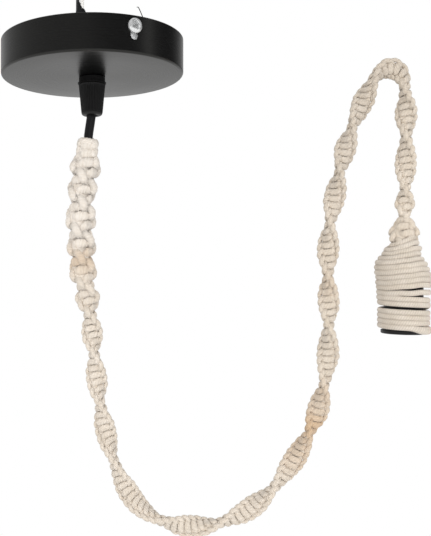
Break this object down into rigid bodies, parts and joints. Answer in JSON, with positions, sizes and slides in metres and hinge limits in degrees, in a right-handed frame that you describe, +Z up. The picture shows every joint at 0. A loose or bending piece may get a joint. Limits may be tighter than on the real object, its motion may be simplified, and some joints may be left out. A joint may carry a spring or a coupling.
{
  "type": "pendant cord set",
  "caption": "Satin black ceiling cup with a cord grip, a flat flex in a spiral knotted cotton sleeve, and a small rope-wrapped lamp holder.",
  "frame": {"origin": "centre of the ceiling cup on the ceiling plane, on the flat top of the bracket strap", "axes": "+Z up into the ceiling along the cup's axis, +X from the cup towards the lamp holder, +Y away from the viewer of the picture"},
  "size_m": [0.2828, 0.12, 0.3694],
  "materials": {
    "cup_paint": "satin black paint on spun steel",
    "zinc": "bright zinc plate",
    "black_plastic": "moulded, ribbed on the grip",
    "flex_jacket": "smooth black insulation",
    "white_insulation": "smooth white insulation",
    "cotton": "natural twisted cotton rope",
    "ceramic": "plain white ceramic",
    "brass": "formed sheet",
    "copper": "bare stranded wire"
  },
  "bodies": {
    "root": {"ceiling_cup": "cup_paint", "mounting_bracket": "zinc", "side_screw_front": "zinc", "side_screw_back": "zinc", "grip_stem": "black_plastic", "grip_washer": "zinc", "grip_locknut": "zinc", "grip_collet": "black_plastic", "grip_cone": "black_plastic", "flex_cable": "flex_jacket", "macrame_sleeve": "cotton", "line_wire_top": "flex_jacket", "neutral_wire_top": "white_insulation", "line_copper_top": "copper", "neutral_copper_top": "copper", "holder_wrap": "cotton", "holder_cap": "black_plastic", "holder_shell": "black_plastic", "holder_insert": "ceramic", "lamp_screw_shell": "brass", "centre_contact": "brass", "terminal_screw_line": "brass", "terminal_screw_neutral": "brass", "line_wire_low": "flex_jacket", "neutral_wire_low": "white_insulation"}
  },
  "joints": []
}
